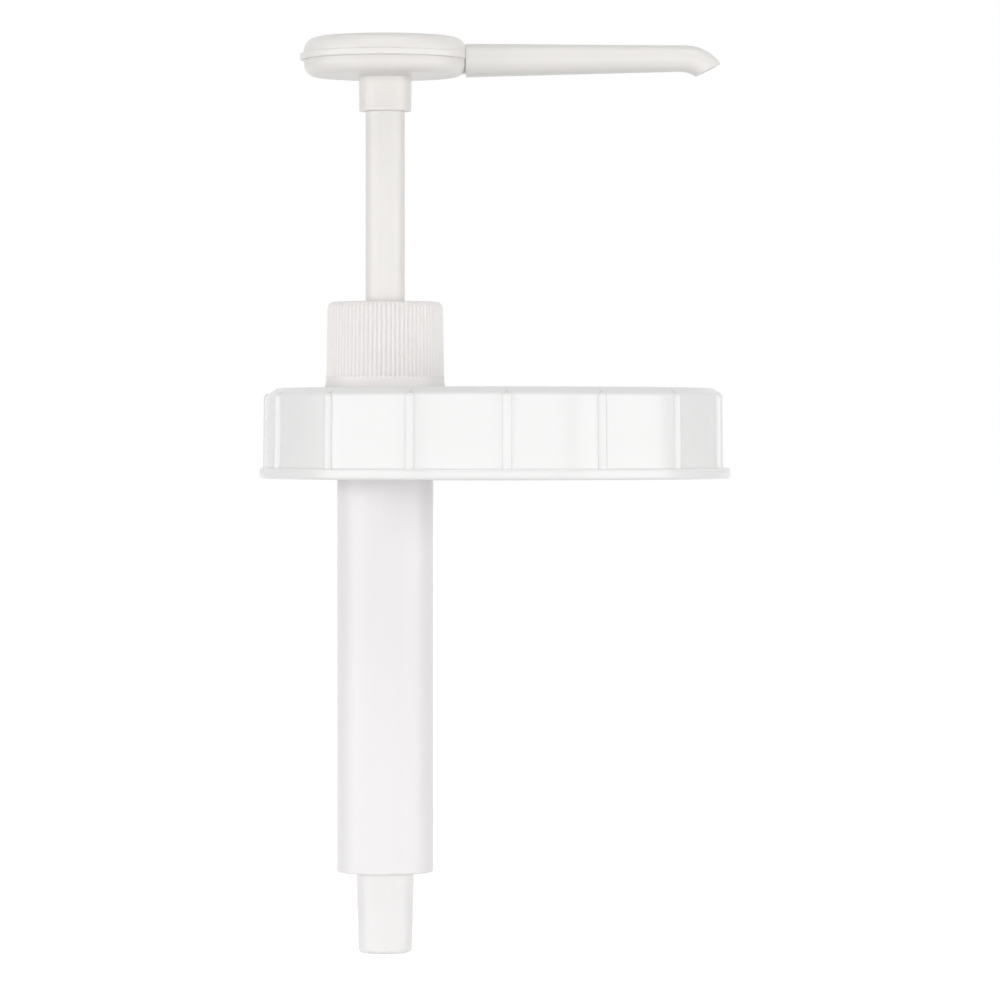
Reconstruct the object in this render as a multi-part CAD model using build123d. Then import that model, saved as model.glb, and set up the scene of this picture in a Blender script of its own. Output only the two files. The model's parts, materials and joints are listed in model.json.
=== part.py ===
"""Condiment pump dispenser on a ribbed screw lid for a wide-mouth jar, as separate pieces.

Millimetres, +Z up. The origin is the centre of the lid's jar seat: the underside of its liner ring,
on the lid's own axis. The pump stands off that axis, at X = -pump_offset, and its spout points to +X.

How it goes together: the barrel comes up through the lid from below until its flange and gasket meet
the underside. The knurled cap is the nut that holds it there. The cap also holds down the stem guide,
which closes the barrel. The head is a handle and a spout on the hollow stem, the stem turns in the
piston, and the return spring stands between the piston and the inlet ball's cage. Food comes up through
the foot valve, past the inlet ball, into the barrel, past the outlet ball, and up the stem to the spout.
"""

from math import asin, atan2, cos, degrees, pi, radians, sin, sqrt
import os

from build123d import *

# ---- Lid ---------------------------------------------------------------------------------------
jar_finish_diameter = 109.7  # outside of the jar's thread
jar_thread_depth = 1.25
jar_thread_pitch = 5.08
jar_thread_turns = 1.25
jar_clearance = 0.35  # radial, jar thread to the lid's wall
lid_height = 22.5
lid_plate = 2.0
lid_wall = 1.9
lid_flange_stand = 1.7  # how far the base flange stands out of the skirt
lid_flange_height = 2.7
lid_skirt_draft = 0.2  # how much narrower the skirt is at its shoulder
lid_shoulder_width = 2.7  # from the skirt to the edge of the flat top
lid_shoulder_height = 1.7
lid_rib_count = 15
lid_rib_radius = 1.2
lid_rib_stand = 1.05  # how far a rib stands out of the skirt's foot
lid_rib_rise = 0.35  # how far a rib's rounded top stands over the shoulder's lower edge
lid_rib_phase = 3.0  # degrees past -Y
liner_thickness = 1.2
liner_width = 6.6
liner_bead_width = 1.3
liner_bead_height = 1.7

# ---- Pump body ---------------------------------------------------------------------------------
pump_offset = 27.4
barrel_bore = 10.0  # radius
barrel_wall = 2.0
barrel_below_lid = 120.75  # from the lid's top face to the barrel's lower end
barrel_flange_width = 4.0
barrel_flange_height = 2.0
barrel_gasket_thickness = 1.0
barrel_key_width = 3.2
barrel_key_stand = 1.4
cap_thread_depth = 0.65
cap_thread_pitch = 3.0
cap_thread_turns = 3.0

# ---- Knurled cap -------------------------------------------------------------------------------
cap_height = 21.6
cap_wall_top = 1.6
cap_wall = 2.2  # thread root to knurl crest, just under the rounded top edge
cap_knurl_taper = 0.25  # how much wider the knurls' foot is
cap_base_flare = 0.35
cap_band_height = 2.8
cap_top_round = 1.7
knurl_count = 80
knurl_depth = 0.36

# ---- Stem, guide and piston --------------------------------------------------------------------
stem_radius = 4.9
stem_wall = 1.45
stroke = 45.0
stroke_margin = 2.6  # what is left between cap and head collar at full stroke
stem_seat_depth = 8.6  # how far the stem goes into the head
stem_bead_stand = 0.7
stem_bead_height = 1.2
guide_flange_thickness = 1.7
guide_plug_length = 11.0
guide_flange_inset = 0.7  # inside the barrel's outside
guide_gasket_thickness = 0.8
seal_ring_radius = 1.05  # section of the stem seal
piston_length = 18.4
piston_clearance = 0.3
piston_spigot_radius = 5.2
piston_spigot_length = 3.0
piston_seal_height = 2.6
piston_seal_depth = 1.5
piston_seal_inset = 1.6  # from each end of the piston
spring_wire = 0.7  # radius
spring_inset = 2.6  # from the barrel's bore to the centre of the wire
spring_turns = 13

# ---- Foot valve --------------------------------------------------------------------------------
foot_plug_length = 14.0
foot_stub_length = 20.15
foot_stub_radius_top = 7.2
foot_stub_radius_bottom = 6.65
tube_socket_radius = 5.0
tube_socket_depth = 16.0
inlet_throat = 3.2
inlet_chamber = 6.0
inlet_ball_radius = 3.97
inlet_lift = 3.0
cage_flange_thickness = 1.5
cage_flange_clearance = 0.6
cage_spigot_length = 1.6
cage_bar_width = 1.8
outlet_throat = 2.3
outlet_ledge = 0.75  # width of the ledge that the outlet ball's cage stands on
outlet_ball_radius = 3.175
outlet_lift = 2.0
outlet_cage_height = 1.6
o_ring_section = 0.8  # radius

# ---- Head and spout ----------------------------------------------------------------------------
head_radius = 20.4
head_ring_stand = 0.9
head_ring_height = 1.7
head_below_ring = 4.4
head_above_ring = 4.5  # to the centre of the crowned top
head_crown = 0.7
head_corner = 3.5
head_foot_corner = 2.9
head_flat = 20.05  # pump axis to the flat that the spout's shoulder meets
head_shell = 1.1
collar_wall = 1.6
collar_height = 8.45
duct_wall = 0.85
duct_radius = 3.3
spout_axis_above_collar = 12.74
spout_plug_radius = 3.4  # inside the head
spout_root_radius = 4.2
spout_bend_radius = 3.3
spout_length = 73.6  # pump axis to the start of the beak
spout_rise = 0.5  # over that length
spout_wall = 1.0
spout_seat = 9.0  # pump axis to the spout's inner end
beak_turn = 55  # degrees that the beak's upper edge turns down
beak_top_reach = 10.2
beak_top_arc = 10.65
beak_bottom_reach = 4.0
beak_bottom_arc = 7.07
beak_overrun = 0.3  # share of the beak made past its mouth, then cut off
beak_sections = 6

# ---- Clearances --------------------------------------------------------------------------------
seat_gap = 0.05  # pieces pressed or stuck into each other
slide_gap = 0.1  # pieces that slide or turn in each other
ball_gap = 0.03  # a ball above its seat
face_gap = 0.2  # faces that stop a motion
thread_gap = 0.25  # radial, crest to root
thread_flank_gap = 0.5  # axial, both flanks together
sink = 0.3  # how deep a rib or thread is rooted in its wall

# ---- Radii that follow -------------------------------------------------------------------------
lid_bore = jar_finish_diameter / 2 + jar_clearance
lid_skirt_radius = lid_bore + lid_wall
lid_flange_radius = lid_skirt_radius + lid_flange_stand
lid_shoulder_radius = lid_skirt_radius - lid_shoulder_width
barrel_radius = barrel_bore + barrel_wall
barrel_flange_radius = barrel_radius + barrel_flange_width
cap_bore = barrel_radius + thread_gap
cap_crest_radius = cap_bore + cap_wall
cap_band_radius = cap_crest_radius + cap_knurl_taper
cap_base_radius = cap_band_radius + cap_base_flare
guide_flange_radius = barrel_radius - guide_flange_inset
piston_radius = barrel_bore - piston_clearance
spring_radius = barrel_bore - spring_inset
cage_flange_radius = barrel_bore - cage_flange_clearance
stem_bore = stem_radius - stem_wall
outlet_chamber = stem_radius - outlet_ledge
collar_radius = stem_radius + collar_wall
head_ring_radius = head_radius + head_ring_stand

# ---- Heights that follow -----------------------------------------------------------------------
plate_under = liner_thickness
lid_top = plate_under + lid_plate
lid_bottom = lid_top - lid_height
cap_top = lid_top + cap_height
cap_roof = cap_top - cap_wall_top
guide_top = cap_roof - slide_gap
barrel_top = guide_top - guide_flange_thickness - guide_gasket_thickness
barrel_bottom = lid_top - barrel_below_lid
barrel_flange_top = plate_under - barrel_gasket_thickness
guide_bottom = barrel_top - guide_plug_length
piston_top = guide_bottom - face_gap
piston_bottom = piston_top - piston_length
foot_top = barrel_bottom + foot_plug_length
cage_top = foot_top + cage_flange_thickness
collar_bottom = cap_top + stroke + stroke_margin
collar_top = collar_bottom + collar_height
stem_top = collar_bottom + stem_seat_depth
head_bottom = collar_top
ring_bottom = head_bottom + head_below_ring
ring_top = ring_bottom + head_ring_height
head_top = ring_top + head_above_ring
spout_axis = collar_bottom + spout_axis_above_collar

# Balls sit in 45 degree cones: a ball's centre is sqrt(2) radii above the cone's point.
inlet_seat = foot_top - cage_spigot_length - inlet_lift - inlet_ball_radius * (1 + sqrt(2)) + inlet_throat
inlet_ball_height = inlet_seat - inlet_throat + inlet_ball_radius * sqrt(2)
outlet_seat = piston_bottom + 2.0
outlet_ball_height = outlet_seat - outlet_throat + outlet_ball_radius * sqrt(2)
outlet_cage_bottom = outlet_ball_height + outlet_ball_radius + outlet_lift
stem_bottom = outlet_cage_bottom + outlet_cage_height


# ---- Helpers -----------------------------------------------------------------------------------
def turned(*corners):
    """A solid turned about Z from its (radius, height) corners; a third number rounds that corner."""
    outline = make_face(Polyline(*[corner[:2] for corner in corners], close=True))
    for corner in corners:
        if len(corner) == 3:
            nearest = outline.vertices().sort_by_distance((corner[0], corner[1]))[0]
            outline = fillet(nearest, corner[2])
    return revolve(Plane.XZ * outline, Axis.Z)


def rod(radius, low, high):
    """A cylinder on Z between two heights."""
    return Pos(0, 0, low) * Cylinder(radius, high - low, align=(Align.CENTER, Align.CENTER, Align.MIN))


def tube(outer, inner, low, high):
    return rod(outer, low, high) - rod(inner, low, high)


def ball(radius, height):
    return Pos(0, 0, height) * Sphere(radius)


def o_ring(radius, section, height):
    """A ring of round section whose centreline has this radius."""
    return Pos(0, 0, height) * Torus(radius, section)


def helical_ridge(wall_radius, depth, pitch, turns, low, inward, slack=0.0):
    """A moulded thread ridge rooted in a cylindrical wall; slack thins it along the axis."""
    side = -1 if inward else 1
    crest_half = pitch * 0.14 - slack / 2
    root_half = pitch * 0.27 - slack / 2
    spread = (root_half - crest_half) / depth
    helix = Helix(pitch, pitch * turns, wall_radius, center=(0, 0, low))
    section = Polyline(
        (-side * sink, -root_half - spread * sink),
        (side * depth, -crest_half),
        (side * depth, crest_half),
        (-side * sink, root_half + spread * sink),
        close=True,
    )
    start = Plane(origin=helix @ 0, x_dir=(1, 0, 0), z_dir=-(helix % 0))
    return sweep(start * make_face(section), path=helix, is_frenet=True)


def knurled_section(crest, height):
    """The cap's outline at one height: trapezoid knurls, as a face."""
    step = 2 * pi / knurl_count
    root = crest - knurl_depth
    corners = []
    for number in range(knurl_count):
        for share, radius in ((0.0, root), (0.2, root), (0.42, crest), (0.78, crest)):
            angle = (number + share) * step
            corners.append((radius * cos(angle), radius * sin(angle), height))
    return make_face(Polyline(*corners, close=True))


# ---- Lid group ---------------------------------------------------------------------------------
def make_lid():
    """Plate, skirt, ribs, base flange, jar thread, and the keyed hole that the barrel passes."""
    shoulder_low = lid_top - lid_shoulder_height
    flange_top = lid_bottom + lid_flange_height
    skirt_top_radius = lid_skirt_radius - lid_skirt_draft
    shell = turned(
        (0, lid_top),
        (lid_shoulder_radius, lid_top, 0.8),
        (skirt_top_radius, shoulder_low, 0.6),
        (lid_skirt_radius, flange_top),
        (lid_flange_radius, flange_top, 0.5),
        (lid_flange_radius, lid_bottom, 0.6),
        (lid_bore + 0.5, lid_bottom, 0.5),
        (lid_bore, plate_under, 0.3),
        (0, plate_under),
    )
    rib_length = shoulder_low - flange_top
    rib = rod(lid_rib_radius, flange_top - sink, shoulder_low + lid_rib_rise)
    rib = fillet(rib.edges().sort_by(Axis.Z)[-1], lid_rib_radius * 0.8)
    reach = lid_skirt_radius + lid_rib_stand - lid_rib_radius
    tilt = degrees(atan2(lid_skirt_draft, rib_length))
    ribs = [
        Rot(0, 0, lid_rib_phase - 90 + 360 / lid_rib_count * number)
        * Pos(reach, 0, flange_top) * Rot(0, -tilt, 0) * Pos(0, 0, -flange_top) * rib
        for number in range(lid_rib_count)
    ]
    thread_low = lid_bottom + 4.0
    ridge = helical_ridge(lid_bore, jar_thread_depth, jar_thread_pitch, jar_thread_turns, thread_low, True)
    bead_outer = lid_bore - liner_width - seat_gap
    bead_low = plate_under - liner_bead_height
    bead = tube(bead_outer, bead_outer - liner_bead_width, bead_low, plate_under + sink)
    hole = rod(barrel_radius + slide_gap, plate_under - 1, lid_top + 1)
    key_span = 2 * (barrel_radius + barrel_key_stand + slide_gap)
    key = Box(barrel_key_width + 2 * slide_gap, key_span, 3 * lid_plate)
    passage = Pos(-pump_offset, 0, 0) * (hole + Pos(0, 0, lid_top) * key)
    return shell + ribs + ridge + bead - passage


def make_lid_liner():
    outer = lid_bore - 4 * slide_gap
    return tube(outer, lid_bore - liner_width, 0, plate_under)


def make_barrel():
    """Straight cylinder with a flange under the lid, two keys in the lid's hole and the cap's thread."""
    root = barrel_radius - cap_thread_depth
    thread_zone = lid_top + 0.6
    body = turned(
        (barrel_bore, barrel_top),
        (root, barrel_top, 0.4),
        (root, thread_zone + cap_thread_depth),
        (barrel_radius, thread_zone),
        (barrel_radius, barrel_flange_top),
        (barrel_flange_radius, barrel_flange_top, 0.4),
        (barrel_flange_radius, barrel_flange_top - barrel_flange_height, 0.6),
        (barrel_radius, barrel_flange_top - barrel_flange_height, 0.8),
        (barrel_radius, barrel_bottom, 0.4),
        (barrel_bore, barrel_bottom),
    )
    thread_low = thread_zone + 2.6
    ridge = helical_ridge(root, cap_thread_depth, cap_thread_pitch, cap_thread_turns, thread_low, False,
                          thread_flank_gap)
    key_height = lid_top - 0.4 - barrel_flange_top
    key = Box(barrel_key_width, 2 * (barrel_radius + barrel_key_stand), key_height)
    keys = Pos(0, 0, barrel_flange_top + key_height / 2) * key - rod(barrel_radius - sink, -2, lid_top + 1)
    return body + ridge + keys


def make_barrel_gasket():
    ring = tube(barrel_flange_radius - 0.4, barrel_radius + slide_gap, barrel_flange_top, plate_under)
    gap_length = 2 * (barrel_radius + barrel_key_stand + slide_gap)
    notch = Box(barrel_key_width + 2 * slide_gap, gap_length, 4 * barrel_gasket_thickness)
    return ring - Pos(0, 0, plate_under) * notch


# ---- Cap and guide -----------------------------------------------------------------------------
def make_screw_cap():
    """Knurled nut: tapered knurls that die into a plain band, and an inside thread."""
    band_top = lid_top + cap_band_height
    low_section = knurled_section(cap_band_radius, band_top - 0.6)
    knurls = loft([low_section, knurled_section(cap_crest_radius, cap_top)], ruled=True)
    envelope = turned(
        (0, cap_top),
        (cap_crest_radius, cap_top, cap_top_round),
        (cap_band_radius + 0.1, band_top - 1),
        (0, band_top - 1),
    )
    band = turned(
        (0, band_top + 0.4),
        (cap_band_radius - knurl_depth, band_top + 0.4),
        (cap_band_radius, band_top),
        (cap_band_radius + 0.05, band_top - 1.2, 0.6),
        (cap_base_radius, lid_top + 0.9, 0.5),
        (cap_base_radius, lid_top, 0.3),
        (0, lid_top),
    )
    cavity = turned(
        (0, lid_top - 1),
        (cap_bore + 0.7, lid_top - 1),
        (cap_bore + 0.7, lid_top + 0.4),
        (cap_bore, lid_top + 1.1),
        (cap_bore, cap_roof, 0.5),
        (0, cap_roof),
    )
    thread_low = lid_top + 0.6 + 2.6 + cap_thread_pitch / 2
    ridge = helical_ridge(cap_bore, cap_thread_depth, cap_thread_pitch, cap_thread_turns, thread_low, True,
                          thread_flank_gap)
    stem_hole = rod(stem_radius + 2 * slide_gap, cap_roof - 1, cap_top + 1)
    return (knurls & envelope) + band - cavity - stem_hole + ridge


def make_stem_guide():
    """Bush that closes the barrel and guides the stem; a pocket in its lower end holds the stem seal."""
    flange_low = guide_top - guide_flange_thickness
    body = turned(
        (stem_radius + slide_gap, guide_top),
        (guide_flange_radius, guide_top, 0.3),
        (guide_flange_radius, flange_low),
        (barrel_bore - slide_gap, flange_low),
        (barrel_bore - slide_gap, guide_bottom, 0.5),
        (stem_radius + slide_gap, guide_bottom),
    )
    groove_low = guide_bottom + 2.0
    groove_high = groove_low + 2 * seal_ring_radius + seat_gap
    pocket = rod(stem_radius + 2 * seal_ring_radius + seat_gap, groove_low, groove_high)
    return body - pocket


def make_guide_gasket():
    return tube(guide_flange_radius - 0.1, barrel_bore + slide_gap, barrel_top,
                barrel_top + guide_gasket_thickness)


def make_stem_seal():
    height = guide_bottom + 2.0 + seal_ring_radius + seat_gap / 2
    return o_ring(stem_radius + seal_ring_radius + seat_gap / 2, seal_ring_radius - seat_gap / 4, height)


# ---- Piston group ------------------------------------------------------------------------------
def seal_groove(low):
    outer = piston_radius + 1
    return tube(outer, piston_radius - piston_seal_depth, low, low + piston_seal_height)


def piston_seal_lows():
    """Lower faces of the upper and the lower seal."""
    return piston_top - piston_seal_inset - piston_seal_height, piston_bottom + piston_seal_inset


def make_piston():
    """Hub with two seal grooves, the stem's snap socket, the outlet ball's chamber and a spring spigot."""
    hub = turned(
        (0, piston_top),
        (piston_radius, piston_top, 0.5),
        (piston_radius, piston_bottom, 0.5),
        (piston_spigot_radius, piston_bottom),
        (piston_spigot_radius, piston_bottom - piston_spigot_length, 0.6),
        (0, piston_bottom - piston_spigot_length),
    )
    socket = stem_radius + slide_gap
    bead_low = stem_bottom + 2.0 - slide_gap
    chamber_low = outlet_seat + outlet_chamber - outlet_throat
    inside = turned(
        (0, piston_top + 1),
        (socket, piston_top + 1),
        (socket, bead_low + stem_bead_height + 2 * slide_gap),
        (socket + stem_bead_stand, bead_low + stem_bead_height + 2 * slide_gap),
        (socket + stem_bead_stand, bead_low),
        (socket, bead_low),
        (socket, outlet_cage_bottom),
        (outlet_chamber, outlet_cage_bottom),
        (outlet_chamber, chamber_low),
        (outlet_throat, outlet_seat),
        (outlet_throat, piston_bottom - piston_spigot_length - 1),
        (0, piston_bottom - piston_spigot_length - 1),
    )
    for low in piston_seal_lows():
        hub -= seal_groove(low)
    return hub - inside


def make_piston_seal(low):
    """Cup seal: a collar with a lip at each edge that wipes the bore."""
    root = piston_radius - piston_seal_depth + seat_gap
    lip = barrel_bore - seat_gap
    high = low + piston_seal_height - seat_gap
    low += seat_gap
    middle = (low + high) / 2
    return turned(
        (root, high),
        (lip - 0.25, high),
        (lip, high - 0.35),
        (lip - 0.45, middle, 0.3),
        (lip, low + 0.35),
        (lip - 0.25, low),
        (root, low),
    )


def cross_cage(outer, low, high, bar_width):
    """A ring with two crossed bars, which keeps a ball in and lets food past."""
    ring = tube(outer, outer - 0.8, low, high)
    bar = Pos(0, 0, (low + high) / 2) * Box(2 * outer - 0.8, bar_width, high - low)
    return ring + bar + Rot(0, 0, 90) * bar


def make_outlet_ball_cage():
    return cross_cage(stem_radius, outlet_cage_bottom, stem_bottom - seat_gap, 1.2)


def make_outlet_ball():
    return ball(outlet_ball_radius, outlet_ball_height + ball_gap)


def make_return_spring():
    """Round wire, wound between the cage's flange and the piston's underside."""
    low = cage_top + spring_wire
    high = piston_bottom - spring_wire - seat_gap
    pitch = (high - low) / spring_turns
    helix = Helix(pitch, high - low, spring_radius, center=(0, 0, low + seat_gap / 2))
    start = Plane(origin=helix @ 0, x_dir=(1, 0, 0), z_dir=helix % 0)
    return sweep(start * Circle(spring_wire - seat_gap / 2), path=helix, is_frenet=True)


# ---- Foot valve --------------------------------------------------------------------------------
def make_foot_valve_body():
    """Plug in the barrel's end with the inlet seat above and the dip tube's socket below."""
    plug = barrel_bore - seat_gap
    stub_bottom = barrel_bottom - foot_stub_length
    groove_middle = foot_top - foot_plug_length * 0.35
    chamber_low = inlet_seat + inlet_chamber - inlet_throat
    socket_top = stub_bottom + tube_socket_depth
    body = turned(
        (inlet_throat, socket_top),
        (inlet_throat, inlet_seat),
        (inlet_chamber, chamber_low),
        (inlet_chamber, foot_top),
        (plug, foot_top, 0.5),
        (plug, barrel_bottom, 0.3),
        (foot_stub_radius_top, barrel_bottom),
        (foot_stub_radius_bottom, stub_bottom, 1.0),
        (tube_socket_radius, stub_bottom),
        (tube_socket_radius, socket_top),
    )
    groove_depth = 2 * o_ring_section - seat_gap
    groove_low = groove_middle - o_ring_section
    groove = tube(plug + 1, plug - groove_depth, groove_low, groove_low + 2 * o_ring_section)
    return body - groove


def make_foot_o_ring():
    height = foot_top - foot_plug_length * 0.35
    return o_ring(barrel_bore - seat_gap - o_ring_section, o_ring_section - seat_gap, height)


def make_inlet_ball_cage():
    """Spring seat and ball stop: a flange on the foot valve with a crossed spigot in its chamber."""
    flange = tube(cage_flange_radius, inlet_chamber - 1.2, foot_top, cage_top)
    bars = cross_cage(inlet_chamber - seat_gap, foot_top - cage_spigot_length, cage_top, cage_bar_width)
    return flange + bars


def make_inlet_ball():
    return ball(inlet_ball_radius, inlet_ball_height + ball_gap)


# ---- Head --------------------------------------------------------------------------------------
def make_stem():
    """Hollow stem: pressed into the head above, with a snap bead in the piston below."""
    bead_low = stem_bottom + 2.0
    return turned(
        (stem_bore, stem_top),
        (stem_radius, stem_top, 0.3),
        (stem_radius, bead_low + stem_bead_height),
        (stem_radius + stem_bead_stand - slide_gap, bead_low + stem_bead_height, 0.3),
        (stem_radius + stem_bead_stand - slide_gap, bead_low, 0.3),
        (stem_radius, bead_low),
        (stem_radius, stem_bottom, 0.3),
        (stem_bore, stem_bottom),
    )


def head_cavity(gap):
    """The space inside the head's shells, less a gap all round."""
    wall = head_shell + gap
    crown_edge = head_top - head_crown
    return turned(
        (0, head_top - wall),
        (head_radius - head_corner - 1, crown_edge - wall + 0.15),
        (head_radius - wall, crown_edge - wall, head_corner - head_shell),
        (head_radius - wall, head_bottom + head_shell, 2.0),
        (0, head_bottom + head_shell),
    )


def spout_hole(gap):
    return Pos(spout_seat, 0, spout_axis) * Rot(0, 90, 0) * Cylinder(
        spout_plug_radius + gap, head_ring_radius, align=(Align.CENTER, Align.CENTER, Align.MIN))


def beyond_flat():
    """What the flat under the spout's shoulder takes off the head's side."""
    side = 2 * head_ring_radius
    return Pos(head_flat + side / 2, 0, head_bottom) * Box(side, side, side)


def make_head_cover():
    """Crowned top shell. Its foot is the ring that shows round the head, and it clips over the base."""
    crown_edge = head_top - head_crown
    outside = turned(
        (0, head_top),
        (head_radius - head_corner - 1, crown_edge + 0.15, 12.0),
        (head_radius, crown_edge, head_corner),
        (head_radius, ring_top),
        (head_ring_radius, ring_top, 0.35),
        (head_ring_radius, ring_bottom, 0.35),
        (0, ring_bottom),
    )
    return outside - head_cavity(0) - spout_hole(slide_gap) - beyond_flat()


def make_head_base():
    """Lower shell with the stem's collar and the duct that turns the flow into the spout."""
    rim_radius = head_radius - head_shell - slide_gap
    rim_wall = 1.2
    shell = turned(
        (0, head_bottom),
        (head_radius - 0.1, head_bottom + 0.35, head_foot_corner),
        (head_radius - 0.1, ring_bottom),
        (rim_radius, ring_bottom),
        (rim_radius, ring_top + 0.6),
        (rim_radius - rim_wall, ring_top + 0.6),
        (rim_radius - rim_wall, head_bottom + 1.5, 2.0),
        (0, head_bottom + 1.5),
    )
    collar = turned(
        (0, head_bottom + 1),
        (collar_radius + 0.1, head_bottom + 1),
        (collar_radius, collar_bottom, 0.35),
        (0, collar_bottom),
    )
    duct_outer = spout_plug_radius + seat_gap + duct_wall
    riser = rod(collar_radius, head_bottom, head_top - 1)
    arm = Pos(0, 0, spout_axis) * Rot(0, 90, 0) * Cylinder(
        duct_outer, rim_radius - 1.5, align=(Align.CENTER, Align.CENTER, Align.MIN))
    duct = (riser + arm) & head_cavity(slide_gap)
    passage = rod(duct_radius, collar_bottom, spout_axis) + ball(duct_radius, spout_axis)
    passage += Pos(0, 0, spout_axis) * Rot(0, 90, 0) * Cylinder(
        duct_radius, spout_seat + 1, align=(Align.CENTER, Align.CENTER, Align.MIN))
    socket_top = stem_top + 2 * o_ring_section
    socket = rod(stem_radius + seat_gap, collar_bottom - 1, socket_top)
    return shell + collar + duct - passage - socket - spout_hole(seat_gap) - beyond_flat()


def make_head_seal():
    """O-ring between the stem's upper end and the roof of its socket."""
    middle = (stem_radius + stem_bore + 0.1) / 2
    return o_ring(middle, min(stem_radius - middle, o_ring_section) - seat_gap / 2, stem_top + o_ring_section)


def beak_edges(share):
    """Upper and lower edge point of the beak, from the end of the straight tube (0) to its mouth (1)."""
    start = Vector(spout_length, 0, spout_axis + spout_rise)
    turn = radians(beak_turn)
    run = beak_top_reach - sin(turn) * beak_top_arc
    top_turn = turn * max(0.0, share - 0.2) / 0.8
    top = start + Vector(
        run * min(share / 0.2, 1.0) + beak_top_arc * sin(top_turn),
        0,
        spout_bend_radius - beak_top_arc * (1 - cos(top_turn)),
    )
    bottom_turn = asin(beak_bottom_reach / beak_bottom_arc) * share
    bottom = start + Vector(
        beak_bottom_arc * sin(bottom_turn), 0, -spout_bend_radius - beak_bottom_arc * (1 - cos(bottom_turn))
    )
    return top, bottom


def beak_plane(share):
    """Cross plane of the beak, facing back up the spout."""
    top, bottom = beak_edges(share)
    return Plane(origin=(top + bottom) * 0.5, x_dir=(0, 1, 0), z_dir=(top - bottom).cross(Vector(0, 1, 0)))


def beak_section(share, wall):
    """An oval section of the beak, as wide as the tube it bends out of."""
    top, bottom = beak_edges(share)
    return beak_plane(share) * Ellipse(spout_bend_radius - wall, (top - bottom).length / 2 - wall)


def spout_form(wall):
    """The spout's outside, or with a wall the passage in it."""
    shoulder = head_flat + seat_gap
    seat_plane = Plane(origin=(spout_seat, 0, spout_axis), x_dir=(0, 1, 0), z_dir=(1, 0, 0))
    root_plane = Plane(origin=(shoulder, 0, spout_axis), x_dir=(0, 1, 0), z_dir=(1, 0, 0))
    plug = extrude(seat_plane * Circle(spout_plug_radius - wall), shoulder + 0.01 - spout_seat)
    taper = loft([root_plane * Circle(spout_root_radius - wall), beak_section(0, wall)], ruled=True)
    step = (1 + beak_overrun) / (beak_sections - 1)
    beak = loft([beak_section(number * step, wall) for number in range(beak_sections)])
    return plug + taper + beak


def make_spout():
    """Plug, shoulder, tapering tube and bent beak, cut off along the mouth."""
    return split(spout_form(0) - spout_form(spout_wall), bisect_by=beak_plane(1), keep=Keep.TOP)


# ---- Assembly ----------------------------------------------------------------------------------
def make_pieces():
    upper_low, lower_low = piston_seal_lows()
    on_lid_axis = {"lid": make_lid(), "lid_liner": make_lid_liner()}
    on_pump_axis = {
        "barrel": make_barrel(),
        "barrel_gasket": make_barrel_gasket(),
        "foot_valve_body": make_foot_valve_body(),
        "foot_o_ring": make_foot_o_ring(),
        "inlet_ball_cage": make_inlet_ball_cage(),
        "inlet_ball": make_inlet_ball(),
        "return_spring": make_return_spring(),
        "screw_cap": make_screw_cap(),
        "stem_guide": make_stem_guide(),
        "guide_gasket": make_guide_gasket(),
        "stem_seal": make_stem_seal(),
        "piston": make_piston(),
        "upper_piston_seal": make_piston_seal(upper_low),
        "lower_piston_seal": make_piston_seal(lower_low),
        "outlet_ball": make_outlet_ball(),
        "outlet_ball_cage": make_outlet_ball_cage(),
        "stem": make_stem(),
        "head_seal": make_head_seal(),
        "head_base": make_head_base(),
        "head_cover": make_head_cover(),
        "spout": make_spout(),
    }
    moved = {name: Pos(-pump_offset, 0, 0) * piece for name, piece in on_pump_axis.items()}
    return {**on_lid_axis, **moved}


os.makedirs("parts", exist_ok=True)
for node, solid in make_pieces().items():
    export_step(solid, f"parts/{node}.step")
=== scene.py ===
"""The looks of a condiment pump dispenser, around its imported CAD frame."""

import json
import math

import bpy
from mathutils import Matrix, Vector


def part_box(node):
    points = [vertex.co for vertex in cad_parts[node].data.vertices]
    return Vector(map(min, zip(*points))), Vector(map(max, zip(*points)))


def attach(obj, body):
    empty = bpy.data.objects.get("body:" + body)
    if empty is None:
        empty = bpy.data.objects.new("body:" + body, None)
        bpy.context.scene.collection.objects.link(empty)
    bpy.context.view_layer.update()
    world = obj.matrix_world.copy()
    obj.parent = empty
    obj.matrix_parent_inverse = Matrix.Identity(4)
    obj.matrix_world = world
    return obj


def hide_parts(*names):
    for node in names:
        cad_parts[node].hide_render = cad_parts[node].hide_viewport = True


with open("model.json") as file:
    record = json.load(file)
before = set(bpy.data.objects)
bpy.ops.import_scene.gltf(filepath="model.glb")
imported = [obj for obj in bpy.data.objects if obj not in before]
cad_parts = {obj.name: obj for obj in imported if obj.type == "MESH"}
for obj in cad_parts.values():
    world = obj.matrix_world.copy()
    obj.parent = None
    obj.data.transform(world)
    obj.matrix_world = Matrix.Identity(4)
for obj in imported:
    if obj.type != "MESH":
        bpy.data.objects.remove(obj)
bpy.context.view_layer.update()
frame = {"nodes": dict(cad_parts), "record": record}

MM = 0.001
KNURLS = 80


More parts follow.
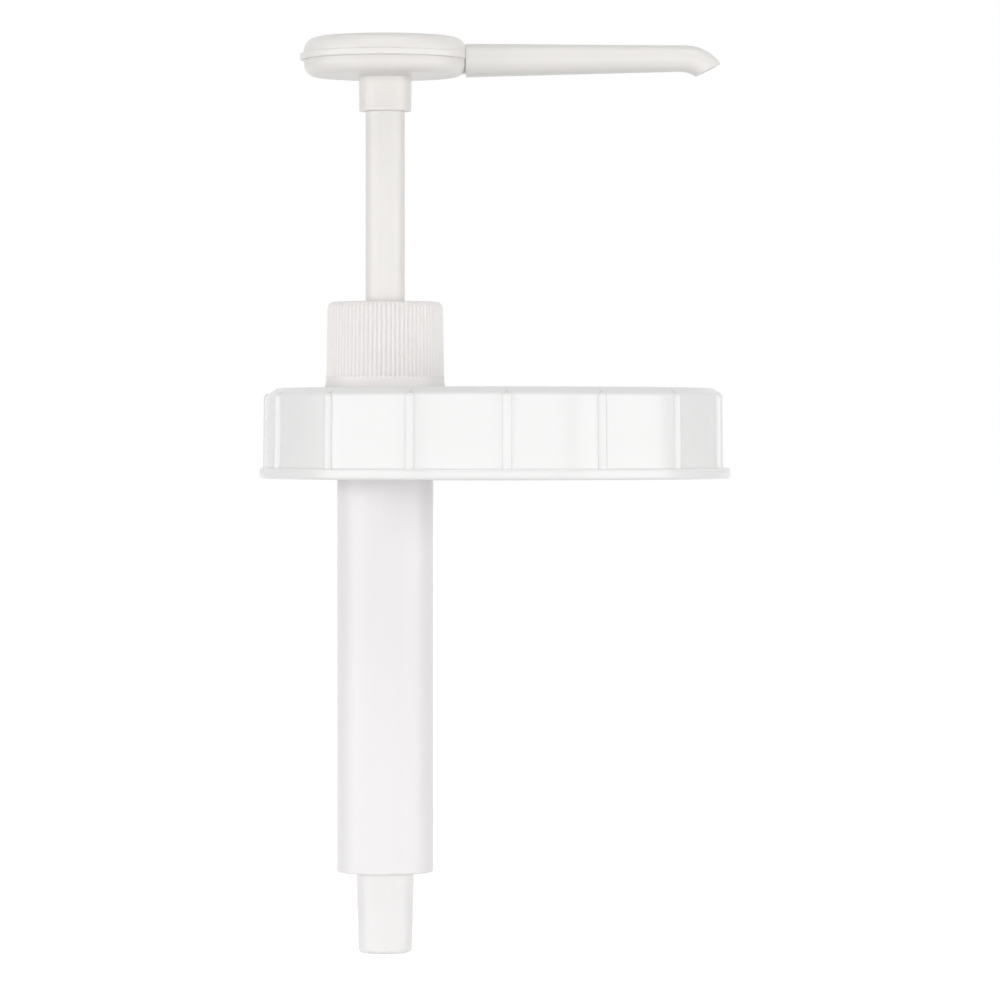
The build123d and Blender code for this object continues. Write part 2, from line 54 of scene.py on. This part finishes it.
# ---- Materials ---------------------------------------------------------------------------------
class Recipe:
    """A Principled material under construction, with short calls for the nodes it needs."""

    def __init__(self, name, base, roughness):
        self.material = bpy.data.materials.new(name)
        self.material.use_nodes = True
        self.tree = self.material.node_tree
        self.shader = self.tree.nodes["Principled BSDF"]
        self.shader.inputs["Base Color"].default_value = (*base, 1)
        self.shader.inputs["Roughness"].default_value = roughness
        self.height = None

    def node(self, kind, **values):
        """A new node whose sockets, or else its own settings, take the values."""
        made = self.tree.nodes.new(kind)
        for key, value in values.items():
            if key in made.inputs.keys():
                made.inputs[key].default_value = value
            else:
                setattr(made, key.lower().replace(" ", "_"), value)
        return made

    def link(self, output, target):
        self.tree.links.new(output, target)

    def place(self, scale=(1, 1, 1)):
        """Object coordinates, which are the row frame in metres, stretched by a scale."""
        where = self.node("ShaderNodeTexCoord")
        mapping = self.node("ShaderNodeMapping")
        mapping.inputs["Scale"].default_value = scale
        self.link(where.outputs["Object"], mapping.inputs["Vector"])
        return mapping.outputs["Vector"]

    def noise(self, scale, detail=3.0, stretch=(1, 1, 1), rough=0.5):
        made = self.node("ShaderNodeTexNoise", Scale=scale, Detail=detail, Roughness=rough)
        self.link(self.place(stretch), made.inputs["Vector"])
        return made.outputs["Fac"]

    def span(self, value, low, high, to_low, to_high):
        """Maps low to to_low and high to to_high, and keeps between them."""
        made = self.node("ShaderNodeMapRange")
        self.link(value, made.inputs["Value"])
        ends = {"From Min": low, "From Max": high, "To Min": to_low, "To Max": to_high}
        for key, number in ends.items():
            made.inputs[key].default_value = number
        return made.outputs["Result"]

    def math(self, operation, *values):
        """One step of arithmetic on node outputs and numbers."""
        made = self.node("ShaderNodeMath", operation=operation)
        for socket, value in zip(made.inputs, values):
            if isinstance(value, (int, float)):
                socket.default_value = value
            else:
                self.link(value, socket)
        return made.outputs[0]

    def tint(self, value, low, high, colour):
        """Mixes the colour so far towards another where value runs from low to high."""
        amount = self.span(value, low, high, 0.0, 1.0)
        mix = self.node("ShaderNodeMix", data_type="RGBA")
        target = self.shader.inputs["Base Color"]
        if target.is_linked:
            self.link(target.links[0].from_socket, mix.inputs["A"])
        else:
            mix.inputs["A"].default_value = target.default_value
        mix.inputs["B"].default_value = (*colour, 1)
        self.link(amount, mix.inputs["Factor"])
        for output in mix.outputs:
            if output.type == "RGBA":
                self.link(output, target)

    def rough(self, value, low, high, to_low, to_high):
        """Lets the roughness follow a value."""
        self.link(self.span(value, low, high, to_low, to_high), self.shader.inputs["Roughness"])

    def bump(self, value, distance, strength):
        """Adds relief of this height in metres to the relief there is already."""
        made = self.node("ShaderNodeBump", Distance=distance, Strength=strength)
        self.link(value, made.inputs["Height"])
        if self.height is not None:
            self.link(self.height, made.inputs["Normal"])
        self.height = made.outputs["Normal"]
        self.link(self.height, self.shader.inputs["Normal"])


def lid_plastic():
    """Glossy white polypropylene: nearly clean, with a slow change of shade and gloss."""
    recipe = Recipe("lid_plastic", (0.815, 0.813, 0.81), 0.2)
    recipe.tint(recipe.noise(14, 2), 0.1, 0.9, (0.80, 0.80, 0.795))
    recipe.rough(recipe.noise(60, 4), 0.1, 0.9, 0.15, 0.25)
    recipe.bump(recipe.noise(2600, 2), 0.00001, 0.2)
    return recipe.material


def satin_plastic(name, base, shade, roughness, grain):
    """Satin moulded plastic with a slow change of shade and a fine grain."""
    recipe = Recipe(name, base, roughness)
    recipe.tint(recipe.noise(30, 2), 0.1, 0.9, shade)
    recipe.rough(recipe.noise(90, 3), 0.1, 0.9, roughness - 0.06, roughness + 0.08)
    recipe.bump(recipe.noise(grain, 3), 0.00001, 0.4)
    return recipe


def cap_plastic():
    """Satin plastic with painted shade in the flutes of the screw cap, where less light gets in."""
    recipe = satin_plastic("cap_plastic", (0.85, 0.825, 0.82), (0.835, 0.815, 0.805), 0.36, 2200)
    low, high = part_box("screw_cap")
    where = recipe.node("ShaderNodeSeparateXYZ")
    recipe.link(recipe.place(), where.inputs[0])
    # Painted shade mask: 1 in the middle of each flute and 0 on the crests, fading out at the band and
    # at the top.
    aside = recipe.math("SUBTRACT", where.outputs["X"], (low.x + high.x) / 2)
    angle = recipe.math("ARCTAN2", where.outputs["Y"], aside)
    wave = recipe.math("COSINE", recipe.math("MULTIPLY", angle, KNURLS))
    foot = recipe.span(where.outputs["Z"], low.z + 2.5 * MM, low.z + 3.0 * MM, 0.0, 1.0)
    head = recipe.span(where.outputs["Z"], high.z - 1.0 * MM, high.z - 0.2 * MM, 1.0, 0.0)
    depth = recipe.span(wave, 0.3, -0.8, 0.0, 1.0)
    shade = recipe.math("MULTIPLY", depth, recipe.math("MULTIPLY", foot, head))
    # Painted shade: this darker colour is laid into the flutes by the mask above.
    recipe.tint(shade, 0.0, 1.0, (0.74, 0.715, 0.705))
    return recipe.material


def barrel_plastic():
    """White tube with faint lengthwise streaks, some a little pink and some a little grey."""
    recipe = Recipe("barrel_plastic", (0.885, 0.865, 0.865), 0.36)
    recipe.tint(recipe.noise(150, 2, (1, 1, 0.004)), 0.2, 0.8, (0.865, 0.825, 0.83))
    recipe.tint(recipe.noise(420, 2, (1, 1, 0.01)), 0.3, 0.9, (0.865, 0.865, 0.865))
    recipe.rough(recipe.noise(120, 3, (1, 1, 0.1)), 0.1, 0.9, 0.3, 0.42)
    recipe.bump(recipe.noise(420, 3, (1, 1, 0.012)), 0.00001, 0.3)
    return recipe.material


def rubber(name, base):
    """Matt rubber with a fine grain."""
    recipe = Recipe(name, base, 0.6)
    recipe.tint(recipe.noise(150, 3), 0.1, 0.9, tuple(0.85 * part for part in base))
    recipe.bump(recipe.noise(3000, 2), 0.00002, 0.5)
    return recipe.material


def steel():
    """Stainless steel as it comes from drawing or grinding."""
    recipe = Recipe("stainless_steel", (0.62, 0.62, 0.63), 0.2)
    recipe.shader.inputs["Metallic"].default_value = 1.0
    recipe.rough(recipe.noise(700, 3), 0.1, 0.9, 0.14, 0.28)
    recipe.bump(recipe.noise(4000, 2), 0.000005, 0.4)
    return recipe.material


def natural_plastic(name, base, shade):
    """Milky natural plastic: light goes a little way in before it comes back."""
    recipe = Recipe(name, base, 0.32)
    recipe.shader.inputs["Subsurface Weight"].default_value = 0.3
    recipe.shader.inputs["Subsurface Radius"].default_value = (1.0, 0.9, 0.75)
    recipe.shader.inputs["Subsurface Scale"].default_value = 0.002
    recipe.tint(recipe.noise(40, 2), 0.1, 0.9, shade)
    recipe.rough(recipe.noise(90, 3), 0.1, 0.9, 0.26, 0.38)
    recipe.bump(recipe.noise(1800, 3), 0.00001, 0.3)
    return recipe.material


FINISH = {
    "lid_white": lid_plastic(),
    "liner": satin_plastic("liner_foam", (0.72, 0.72, 0.70), (0.66, 0.66, 0.64), 0.7, 2500).material,
    "cap_white": cap_plastic(),
    "barrel_white": barrel_plastic(),
    "natural_plastic": natural_plastic("natural_plastic", (0.80, 0.775, 0.755), (0.785, 0.765, 0.74)),
    "foot_plastic": natural_plastic("foot_plastic", (0.885, 0.87, 0.865), (0.87, 0.855, 0.85)),
    "seal_rubber": rubber("black_rubber", (0.015, 0.015, 0.015)),
    "gasket_rubber": rubber("white_rubber", (0.55, 0.55, 0.53)),
    "steel": steel(),
}


def dress_frame():
    """Gives each CAD node its slot's material, and shading that follows its larger faces.

    The foot valve is of a whiter plastic than the rest of its slot.
    """
    slots = {entry["node"]: entry["material_slot"] for entry in frame["record"]["subparts"]}
    for name, node in frame["nodes"].items():
        material = FINISH["foot_plastic" if name == "foot_valve_body" else slots[name]]
        node.data.materials.clear()
        node.data.materials.append(material)
        even = node.modifiers.new("even_normals", "WEIGHTED_NORMAL")
        even.keep_sharp = True


# ---- Threads and skins -------------------------------------------------------------------------
CAP_THREAD = {"pitch": 3.0, "turns": 3, "depth": 0.65, "root": 0.56}
JAR_THREAD = {"pitch": 5.08, "turns": 1.25, "depth": 1.25, "root": 1.37}
THREAD_FLANK = 0.13  # height of a thread's flank, as a share of its pitch
THREAD_RUN_OUT = 0.04  # turns over which a thread's end dies into the bore
CREASE = math.radians(38)


def ease(value, low, high):
    """0 below low, 1 above high, and smooth between."""
    share = min(max((value - low) / (high - low), 0.0), 1.0)
    return share * share * (3 - 2 * share)


def thread_stand(angle, height, pitch, turns, depth, root):
    """How far an inside thread stands out of its bore; root is half its width there, in mm."""
    turn = angle / (2 * math.pi) % 1
    count = round(height / pitch - turn)
    along = count + turn
    off = abs(height - pitch * along)
    ends = ease(along, 0.0, THREAD_RUN_OUT) * (1 - ease(along, turns - THREAD_RUN_OUT, turns))
    return depth * min(max((root - off) / (THREAD_FLANK * pitch), 0.0), 1.0) * ends


def woven(name, vertices, columns):
    """An object whose mesh closes on itself both round its axis and round its section."""
    rows = len(vertices) // columns
    faces = []
    for column in range(columns):
        here, there = column * rows, (column + 1) % columns * rows
        for row in range(rows):
            above = (row + 1) % rows
            faces.append((here + row, there + row, there + above, here + above))
    mesh = bpy.data.meshes.new(name)
    mesh.from_pydata(vertices, [], faces)
    mesh.polygons.foreach_set("use_smooth", [True] * len(faces))
    mesh.update()
    mesh.set_sharp_from_angle(angle=CREASE)
    piece = bpy.data.objects.new(name, mesh)
    bpy.context.scene.collection.objects.link(piece)
    return piece


def finish_piece(piece, node, body, slot):
    """Gives a skin its material and puts it in the place of a CAD node."""
    piece.data.materials.append(FINISH[slot])
    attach(piece, body)
    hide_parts(node)


# ---- Knurled cap -------------------------------------------------------------------------------
STEPS_PER_KNURL = 8
FLUTE_DEPTH = 0.34
FLUTE_HALF_WIDTH = 0.3  # as a share of the knurl's width
CREST, FOOT, BASE = 14.45, 14.7, 15.05  # radii: knurls at the top, knurls at the foot, flared base
BAND_HEIGHT = 2.8
TOP_ROUND = 1.7
TOP_WALL = 1.6
STEM_HOLE = 5.1
CAP_BORE = 12.25
CAP_THREAD_START = 4.7  # over the cap's foot


def flute(share):
    """Depth of the round-bottomed flute across a knurl's width: 0 on the crest, 1 in the middle."""
    across = abs(share - 0.5) / FLUTE_HALF_WIDTH
    return math.sqrt(1 - across * across) if across < 1 else 0.0


def plain(*points):
    """Profile points that are neither fluted nor on the thread."""
    return [(radius, height, 0, False) for radius, height in points]


def cap_profile(low, high):
    """(radius, height, flute weight, on the thread) once round the cap's section, in mm."""
    band = low + BAND_HEIGHT
    points = plain((12.95, low), (14.4, low), (14.85, low), (14.99, low + 0.06), (BASE, low + 0.22))
    points += plain((15.02, low + 0.7), (14.86, low + 1.3), (14.76, low + 1.9))
    points += [(FOOT + 0.02, band - 0.15 + 0.09 * step, ease(step, 0, 6), False) for step in range(8)]
    wall_foot = band + 0.6
    wall_top = high - TOP_ROUND
    for step in range(1, 7):
        share = step / 6
        radius = FOOT + (CREST - FOOT) * share
        points.append((radius, wall_foot + (wall_top - wall_foot) * share, 1, False))
    for step in range(1, 11):
        turn = math.pi / 2 * step / 10
        radius = CREST - TOP_ROUND + TOP_ROUND * math.cos(turn)
        points.append((radius, wall_top + TOP_ROUND * math.sin(turn), 1 - ease(step, 4, 10), False))
    roof = high - TOP_WALL
    points += plain((9.5, high), (6.0, high), (5.3, high), (STEM_HOLE + 0.02, high - 0.15))
    points += plain((STEM_HOLE, high - 0.8), (STEM_HOLE, roof), (8.0, roof), (CAP_BORE - 0.5, roof))
    points += plain((CAP_BORE - 0.15, roof - 0.15), (CAP_BORE, roof - 0.5))
    length = CAP_THREAD["pitch"] * CAP_THREAD["turns"]
    start = low + CAP_THREAD_START + length + 0.8
    rows = int((length + 1.6) / 0.2)
    points += [(CAP_BORE, start - 0.2 * step, 0, True) for step in range(rows + 1)]
    return points + plain((CAP_BORE, low + 1.1), (12.95, low + 0.4))


def make_knurled_cap():
    """The screw cap with round-bottomed flutes that run out on its rounded shoulder."""
    low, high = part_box("screw_cap")
    middle = (low + high) / 2
    points = cap_profile(low.z / MM, high.z / MM)
    start = low.z / MM + CAP_THREAD_START
    columns = KNURLS * STEPS_PER_KNURL
    vertices = []
    for column in range(columns):
        angle = 2 * math.pi * column / columns
        cut = FLUTE_DEPTH * flute(column % STEPS_PER_KNURL / STEPS_PER_KNURL)
        for radius, height, weight, threaded in points:
            radius -= cut * weight
            if threaded:
                radius -= thread_stand(angle, height - start, **CAP_THREAD)
            along, across = radius * math.cos(angle), radius * math.sin(angle)
            vertices.append((middle.x + along * MM, middle.y + across * MM, height * MM))
    finish_piece(woven("knurled_cap", vertices, columns), "screw_cap", "cap", "cap_white")


# ---- Ribbed lid --------------------------------------------------------------------------------
RIBS = 15
RIB_PHASE = math.radians(3 - 90)
RIB_RADIUS = 1.2
RIB_REACH = 56.95  # from the lid's axis to a rib's own, at the skirt's foot
RIB_RISE = 0.35  # how far a rib stands up over the shoulder's lower edge
STEPS_BETWEEN_RIBS = 18
SKIRT = 57.1  # radius at its foot
SKIRT_DRAFT = 0.2
FLANGE = 58.8
FLANGE_HEIGHT = 2.7
SHOULDER_HEIGHT = 1.7
PLATE = 2.0
BEAD_INSIDE, BEAD_OUTSIDE, BEAD_DEPTH = 47.2, 48.5, 1.7  # the bead that holds the liner
BORE = 55.2
BORE_DRAFT = 0.5
BORE_ROWS = 60
JAR_THREAD_START = 4  # over the lid's foot
BARREL_HOLE = 12.1
KEY_REACH = 13.5
KEY_HALF_WIDTH = 2.3  # at the keys' reach
HOLE_RING = 14.6  # plain circle round the keyed hole, under the cap


def lid_columns():
    """(angle, offset from the rib) round the lid: close together over each rib, even between ribs."""
    near = [0.0, 0.15, 0.3, 0.45, 0.6, 0.75, 0.88, 0.98, 1.06, 1.12, 1.16, 1.185, 1.2, 1.3]
    near = [width / RIB_REACH for width in near]
    gap = 2 * math.pi / RIBS - 2 * near[-1]
    offsets = [-offset for offset in reversed(near[1:])] + near
    offsets += [near[-1] + gap * step / STEPS_BETWEEN_RIBS for step in range(1, STEPS_BETWEEN_RIBS)]
    starts = [RIB_PHASE + 2 * math.pi * rib / RIBS for rib in range(RIBS)]
    return [(start + offset, offset) for start in starts for offset in offsets]


def rib_reach(offset, height, foot, top):
    """Radius of a rib's surface on the lid, or 0 beside and over the rib."""
    centre = RIB_REACH - SKIRT_DRAFT * (height - foot) / (top - foot)
    rounding = 0.8 * RIB_RADIUS
    over = height - (top - rounding)
    if over > rounding + 0.001:
        return 0.0
    radius = RIB_RADIUS
    if over > 0:
        radius += math.sqrt(max(rounding * rounding - over * over, 0.0)) - rounding
    side = centre * math.sin(offset)
    if abs(side) >= radius:
        return 0.0
    return centre * math.cos(offset) + math.sqrt(radius * radius - side * side)


def lid_profile(low, high):
    """(radius, height, kind) once round the lid's section, in mm, up the outside and down the bore."""
    foot = low + FLANGE_HEIGHT
    edge = high - SHOULDER_HEIGHT
    points = [(56.2, low, ""), (58.2, low, ""), (58.43, low + 0.05, ""), (58.62, low + 0.18, "")]
    points += [(58.75, low + 0.37, ""), (FLANGE, low + 0.6, ""), (FLANGE, foot - 0.5, "")]
    points += [(58.76, foot - 0.31, ""), (58.65, foot - 0.15, ""), (58.49, foot - 0.04, "")]
    points += [(58.3, foot, ""), (SKIRT, foot, "skirt")]
    rise = edge - 0.7 - foot
    for step in range(1, 7):
        points.append((SKIRT - SKIRT_DRAFT * step / 6, foot + rise * step / 6, "skirt"))
    bend = [(0.6, 56.9), (0.5, 56.9), (0.4, 56.9), (0.3, 56.9), (0.2, 56.87), (0.1, 56.83)]
    bend += [(0.0, 56.77), (-0.08, 56.7), (-0.16, 56.62), (-0.24, 56.53), (-0.3, 56.45)]
    bend += [(-0.345, 56.39), (-0.36, 56.37)]
    points += [(radius, edge - down, "skirt") for down, radius in bend]
    points += [(54.6, high - 0.14, ""), (54.5, high - 0.08, ""), (54.38, high - 0.03, "")]
    points += [(54.2, high, ""), (54.0, high, ""), (44.0, high, ""), (HOLE_RING, high, "ring")]
    under = high - PLATE
    points += [(0.0, high, "hole"), (0.0, under, "hole"), (HOLE_RING, under, "ring")]
    bead = under - BEAD_DEPTH
    points += [(44.0, under, ""), (BEAD_INSIDE, under, ""), (BEAD_INSIDE, bead, "")]
    points += [(BEAD_OUTSIDE, bead, ""), (BEAD_OUTSIDE, under, "")]
    points += [(54.8, under, ""), (55.08, under - 0.1, ""), (BORE, under - 0.4, "")]
    for step in range(1, BORE_ROWS + 1):
        share = step / BORE_ROWS
        points.append((BORE + BORE_DRAFT * share, under - 0.4 - (under - low - 0.9) * share, "bore"))
    return points + [(55.8, low + 0.2, "")]


def hole_radius(angle):
    """Edge of the barrel's keyed hole, seen from the pump's axis, in mm."""
    across, along = abs(math.cos(angle)), abs(math.sin(angle))
    if along * KEY_HALF_WIDTH > across * KEY_REACH:
        return KEY_REACH / along
    return BARREL_HOLE


def make_ribbed_lid():
    """The lid as one even skin, so that its skirt, ribs, shoulder and flange shade cleanly."""
    low, high = (corner.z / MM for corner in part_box("lid"))
    pump = sum(corner.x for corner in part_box("screw_cap")) / 2
    points = lid_profile(low, high)
    columns = lid_columns()
    rib_foot = low + FLANGE_HEIGHT
    rib_top = high - SHOULDER_HEIGHT + RIB_RISE
    vertices = []
    for angle, offset in columns:
        along, across = math.cos(angle), math.sin(angle)
        for radius, height, kind in points:
            shift = pump if kind in ("ring", "hole") else 0.0
            if kind == "skirt":
                radius = max(radius, rib_reach(offset, height, rib_foot, rib_top))
            if kind == "bore":
                stand = thread_stand(angle, height - low - JAR_THREAD_START, **JAR_THREAD)
                radius = min(radius, BORE - stand)
            if kind == "hole":
                radius = hole_radius(angle)
            vertices.append((shift + radius * along * MM, radius * across * MM, height * MM))
    finish_piece(woven("ribbed_lid", vertices, len(columns)), "lid", "lid", "lid_white")


# ---- Studio ------------------------------------------------------------------------------------
WORLD_LIGHT = 0.33
FLOOR_HEIGHT = -0.32  # m
FLOOR_GLOW = 0.83  # what the floor's look needs to come up to white


def seen_directly(tree):
    """1 for rays from the camera and for those seen in gloss or through glass, else 0."""
    path = tree.nodes.new("ShaderNodeLightPath")
    seen = path.outputs["Is Camera Ray"]
    for name in ("Is Glossy Ray", "Is Transmission Ray"):
        top = tree.nodes.new("ShaderNodeMath")
        top.operation = "MAXIMUM"
        tree.links.new(seen, top.inputs[0])
        tree.links.new(path.outputs[name], top.inputs[1])
        seen = top.outputs[0]
    return seen


def make_world(level):
    """A world that lights at a level and looks white."""
    world = bpy.data.worlds.new("studio")
    bpy.context.scene.world = world
    world.use_nodes = True
    tree = world.node_tree
    tree.nodes.clear()
    output = tree.nodes.new("ShaderNodeOutputWorld")
    light = tree.nodes.new("ShaderNodeBackground")
    light.inputs["Strength"].default_value = level
    shown = tree.nodes.new("ShaderNodeBackground")
    shown.inputs["Strength"].default_value = 1.0
    for background in (light, shown):
        background.inputs["Color"].default_value = (1, 1, 1, 1)
    mix = tree.nodes.new("ShaderNodeMixShader")
    tree.links.new(seen_directly(tree), mix.inputs[0])
    tree.links.new(light.outputs[0], mix.inputs[1])
    tree.links.new(shown.outputs[0], mix.inputs[2])
    tree.links.new(mix.outputs[0], output.inputs[0])


def make_floor(height, lift):
    """White floor that keeps the object's shadow: it is lit, and glows where it is looked at."""
    bpy.ops.mesh.primitive_plane_add(size=40, location=(0, 0, height))
    floor = bpy.context.object
    floor.name = "floor"
    material = bpy.data.materials.new("floor_white")
    material.use_nodes = True
    tree = material.node_tree
    tree.nodes.clear()
    output = tree.nodes.new("ShaderNodeOutputMaterial")
    diffuse = tree.nodes.new("ShaderNodeBsdfDiffuse")
    diffuse.inputs["Color"].default_value = (0.8, 0.8, 0.8, 1)
    glow = tree.nodes.new("ShaderNodeEmission")
    share = tree.nodes.new("ShaderNodeMath")
    share.operation = "MULTIPLY"
    share.inputs[1].default_value = lift
    tree.links.new(seen_directly(tree), share.inputs[0])
    tree.links.new(share.outputs[0], glow.inputs["Strength"])
    both = tree.nodes.new("ShaderNodeAddShader")
    tree.links.new(diffuse.outputs[0], both.inputs[0])
    tree.links.new(glow.outputs[0], both.inputs[1])
    tree.links.new(both.outputs[0], output.inputs[0])
    floor.data.materials.append(material)


def lamp(name, place, size, power):
    """A rectangular softbox that faces the origin."""
    light = bpy.data.lights.new(name, "AREA")
    light.shape = "RECTANGLE"
    light.size, light.size_y = size
    light.energy = power
    holder = bpy.data.objects.new(name, light)
    bpy.context.scene.collection.objects.link(holder)
    holder.location = place
    yaw = math.atan2(-place[1], -place[0])
    pitch = math.atan2(-place[2], math.hypot(place[0], place[1]))
    holder.rotation_euler = (math.pi / 2 + pitch, 0, yaw - math.pi / 2)


def make_camera():
    """Level camera, 1.3 m in front of the pump and a little below the lid's top."""
    data = bpy.data.cameras.new("camera")
    data.sensor_width = 36
    data.lens = 187.2
    data.shift_y = -0.0648
    data.clip_start = 0.05
    data.clip_end = 60
    camera = bpy.data.objects.new("camera", data)
    camera.location = (0.00129, -1.3, -0.0085)
    camera.rotation_euler = (math.pi / 2, 0, 0)
    bpy.context.scene.collection.objects.link(camera)
    bpy.context.scene.camera = camera


dress_frame()
make_knurled_cap()
make_ribbed_lid()
make_world(WORLD_LIGHT)
make_floor(FLOOR_HEIGHT, FLOOR_GLOW)
lamp("left_softbox", (-1.5, -0.65, -0.1), (1.6, 1.0), 13.4)
lamp("right_softbox", (1.5, -0.65, -0.1), (1.6, 1.0), 13.6)
lamp("front_softbox", (0, -2.2, 0), (3.2, 0.6), 15.4)
lamp("top_softbox", (0, -0.7, 1.5), (1.4, 1.4), 8)
make_camera()
bpy.context.scene.view_settings.view_transform = "Standard"
